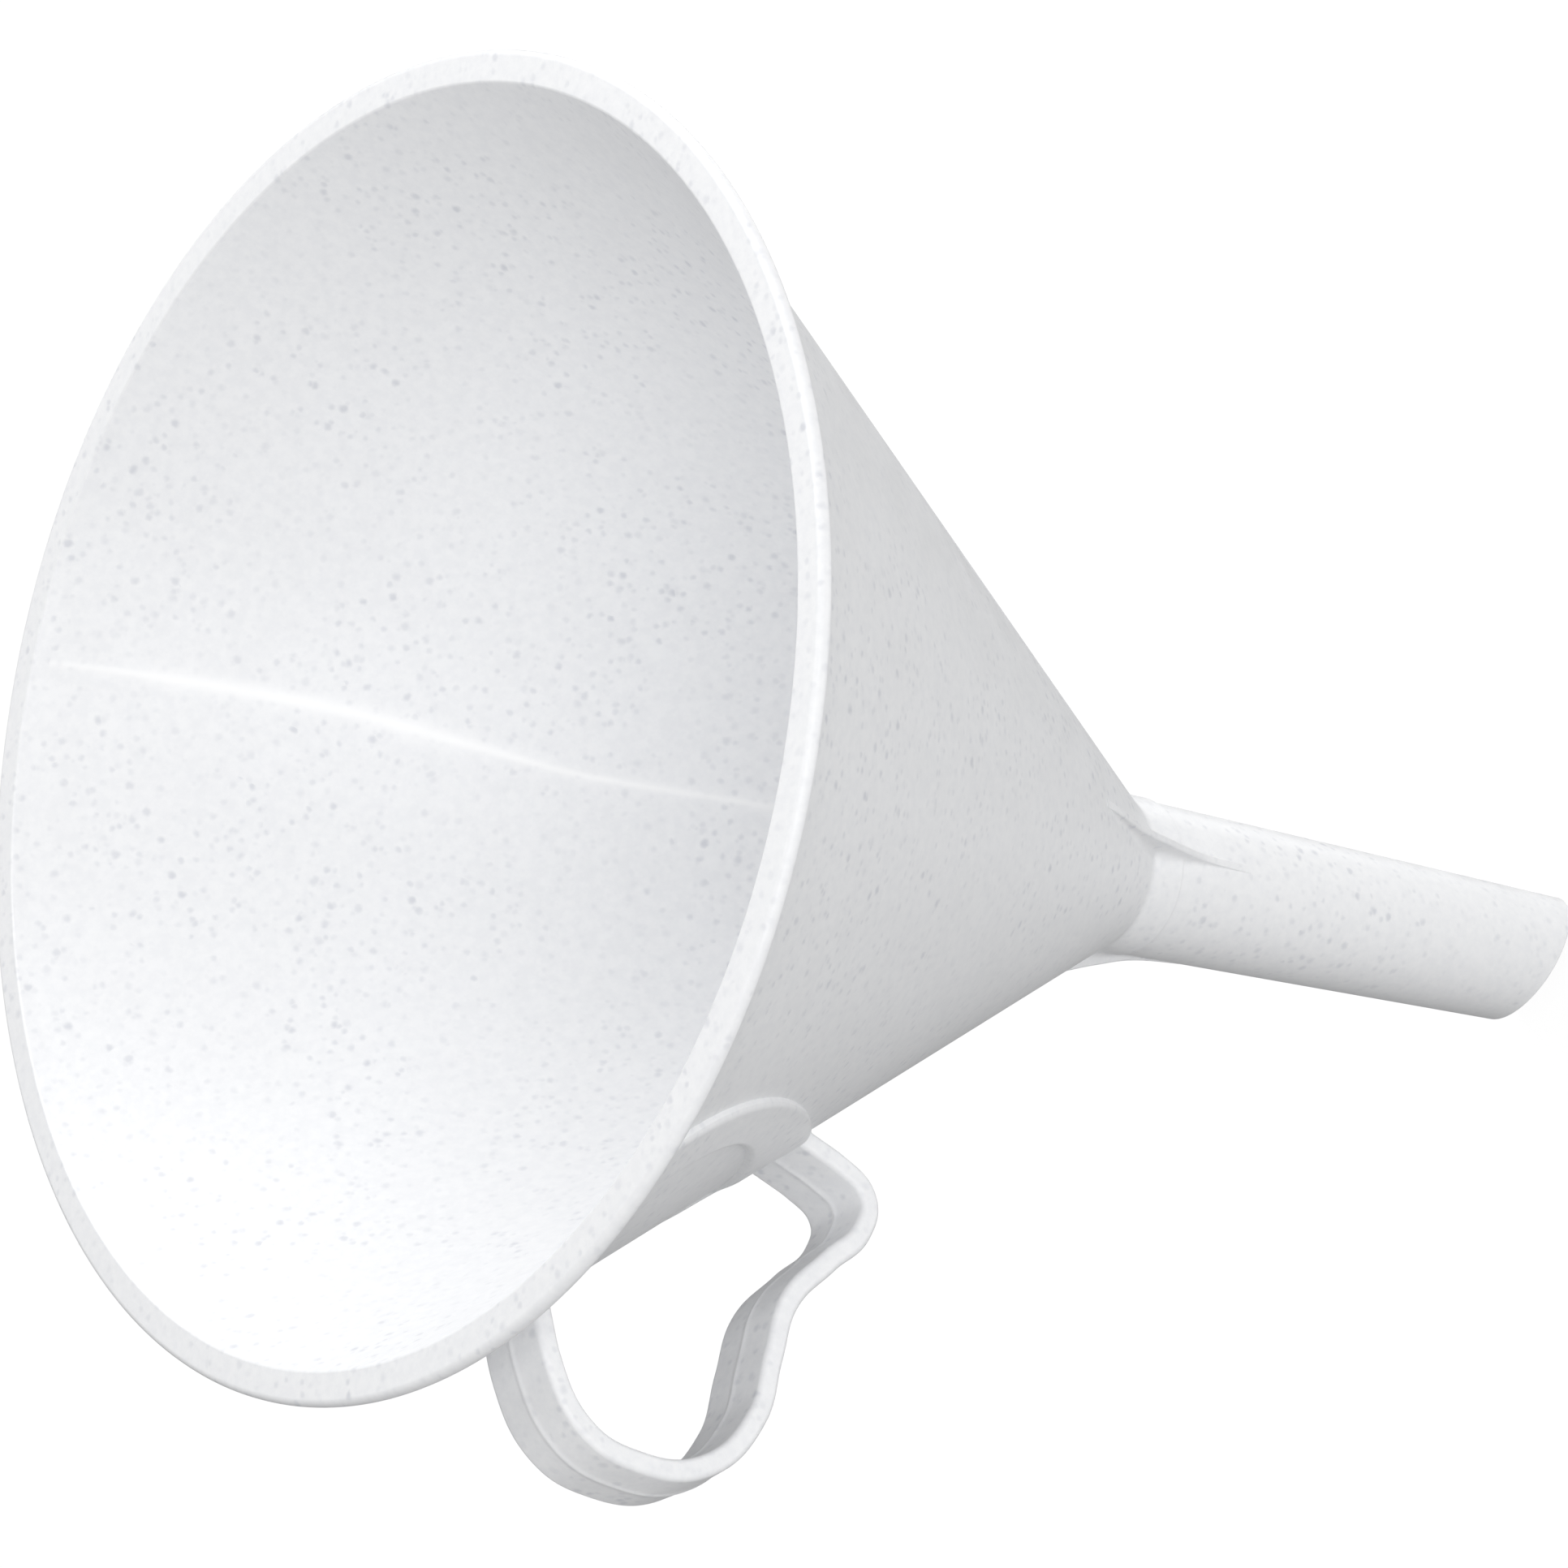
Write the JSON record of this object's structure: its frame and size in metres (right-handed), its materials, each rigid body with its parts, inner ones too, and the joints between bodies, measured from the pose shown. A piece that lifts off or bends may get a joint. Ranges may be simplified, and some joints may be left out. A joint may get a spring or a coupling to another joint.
{
  "type": "funnel with finger loop",
  "caption": "White moulded plastic laboratory funnel: 60 degree bowl, flat lip, vaned neck, bevelled stem and a waved ribbon finger loop.",
  "frame": {"origin": "on the funnel's axis at the neck, where the bowl meets the stem", "axes": "+Z along the funnel's axis towards the mouth, +X towards the handle"},
  "size_m": [0.2151, 0.2, 0.2537],
  "materials": {
    "white_plastic": "satin moulded polyolefin with fine grey flecks"
  },
  "bodies": {
    "root": {"cone_bowl": "white_plastic", "mouth_rim": "white_plastic", "neck_collar": "white_plastic", "stem": "white_plastic", "handle_band": "white_plastic", "handle_saddle": "white_plastic", "neck_vane_1": "white_plastic", "neck_vane_2": "white_plastic", "neck_vane_3": "white_plastic"}
  },
  "joints": []
}
